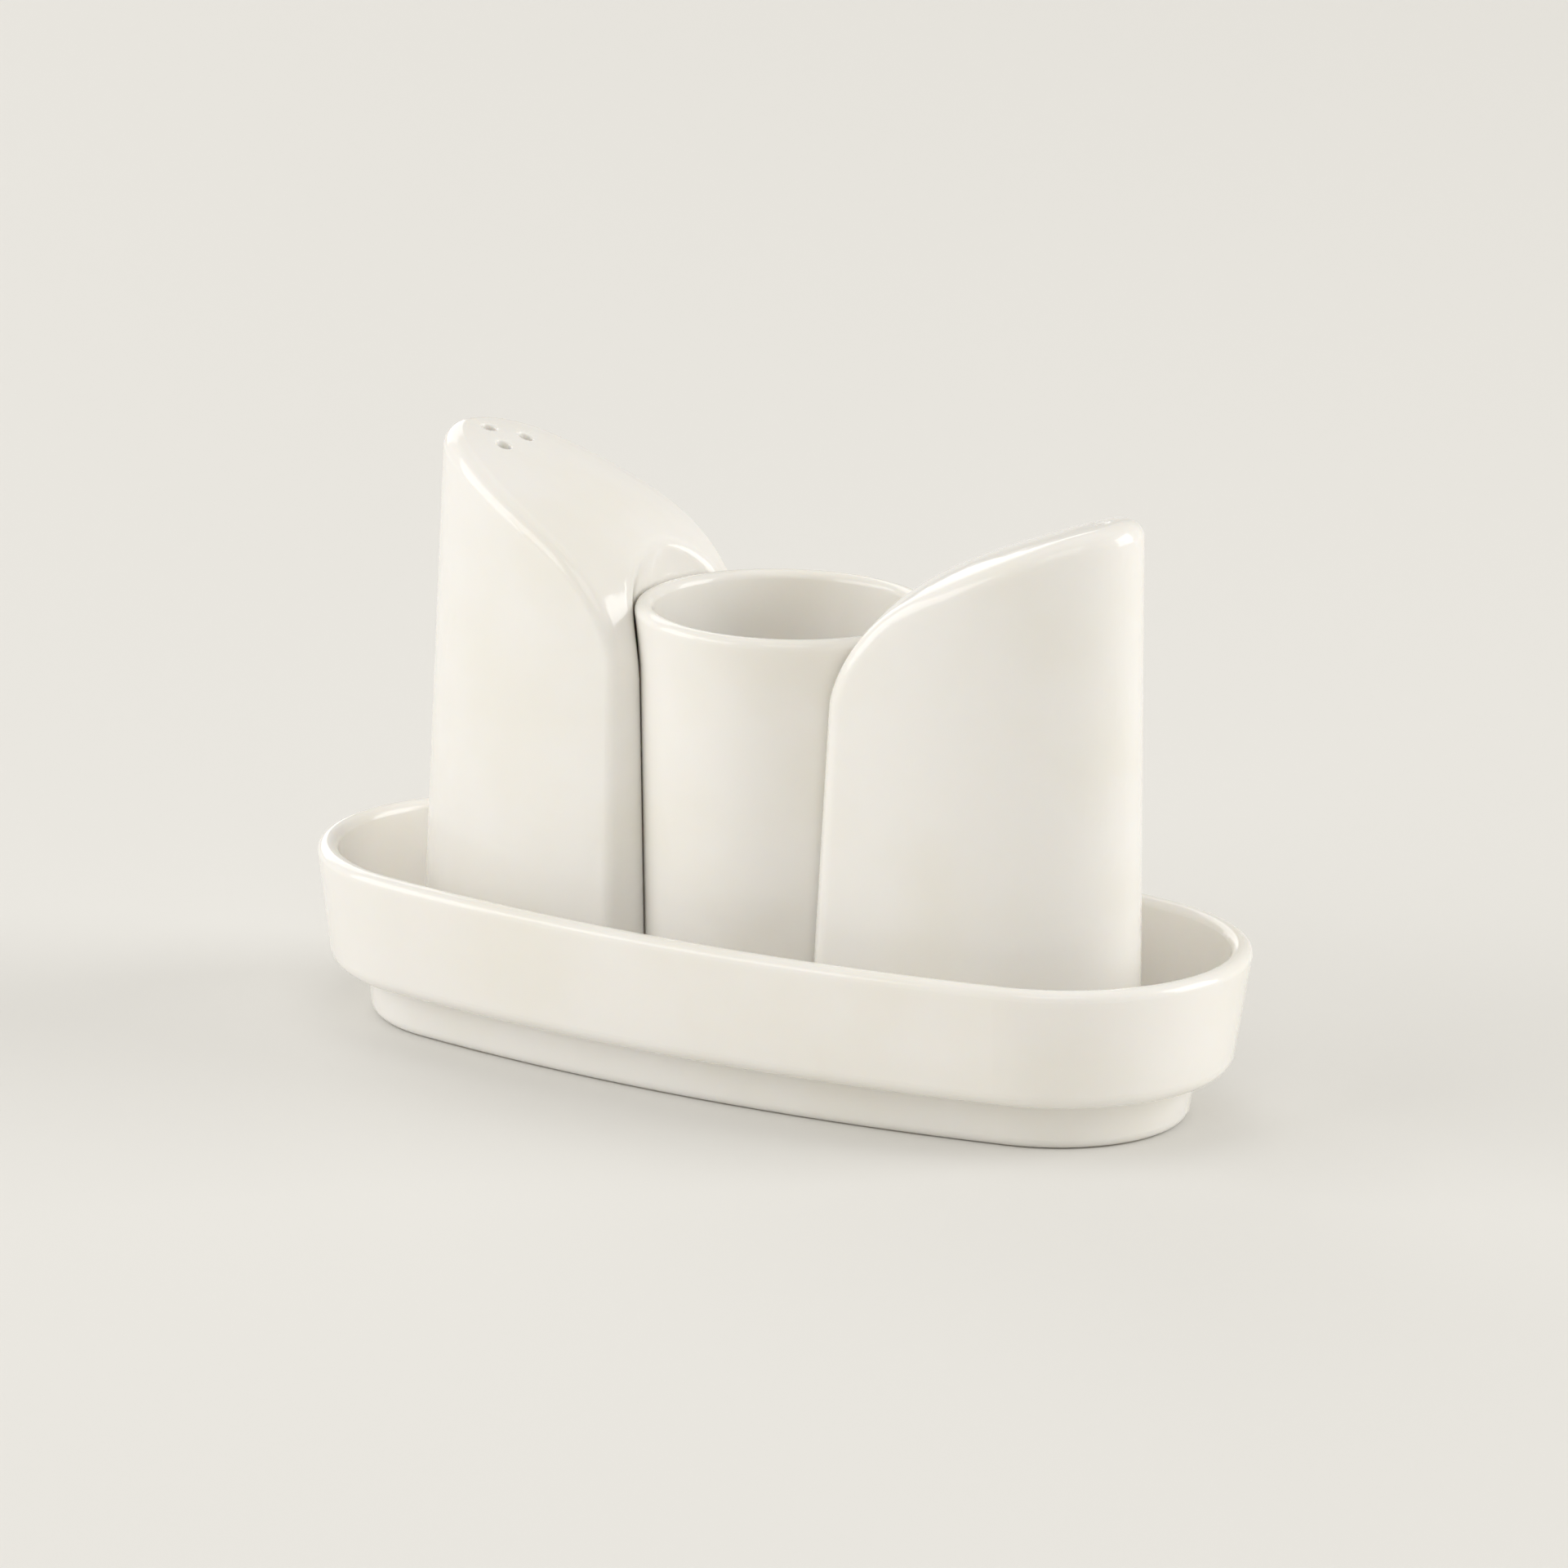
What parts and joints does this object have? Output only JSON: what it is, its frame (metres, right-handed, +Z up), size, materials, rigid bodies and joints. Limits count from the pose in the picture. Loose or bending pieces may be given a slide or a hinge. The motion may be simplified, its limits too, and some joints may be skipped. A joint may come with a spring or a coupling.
{
  "type": "condiment set",
  "caption": "Glazed ivory porcelain condiment set: oval footed tray with a toothpick cup nested between salt and pepper shakers, soft stoppers in their bases",
  "frame": {"origin": "middle of the tray's foot, on the surface that it stands on", "axes": "+X along the tray from the salt shaker towards the pepper shaker, +Y across the tray towards the side that the picture doesn't show, +Z up"},
  "size_m": [0.1646, 0.0746, 0.0985],
  "materials": {
    "glazed_porcelain": "gloss",
    "stopper_rubber": "matte"
  },
  "bodies": {
    "tray": {"tray": "glazed_porcelain"},
    "toothpick_cup": {"toothpick_cup": "glazed_porcelain"},
    "salt_stopper": {"salt_stopper": "stopper_rubber"},
    "salt_shaker": {"salt_shaker": "glazed_porcelain"},
    "pepper_stopper": {"pepper_stopper": "stopper_rubber"},
    "pepper_shaker": {"pepper_shaker": "glazed_porcelain"}
  },
  "joints": [
    {"name": "toothpick_cup_lift", "type": "slide", "parent": "tray", "child": "toothpick_cup", "axis": [0, 0, 1], "range_m": [0, 0.09]},
    {"name": "salt_shaker_lift", "type": "slide", "parent": "tray", "child": "salt_stopper", "axis": [0, 0, 1], "range_m": [0, 0.1]},
    {"name": "salt_stopper_pull", "type": "slide", "parent": "salt_stopper", "child": "salt_shaker", "axis": [0, 0, 1], "range_m": [0, 0.03]},
    {"name": "pepper_shaker_lift", "type": "slide", "parent": "tray", "child": "pepper_stopper", "axis": [0, 0, 1], "range_m": [0, 0.1]},
    {"name": "pepper_stopper_pull", "type": "slide", "parent": "pepper_stopper", "child": "pepper_shaker", "axis": [0, 0, 1], "range_m": [0, 0.03]}
  ]
}
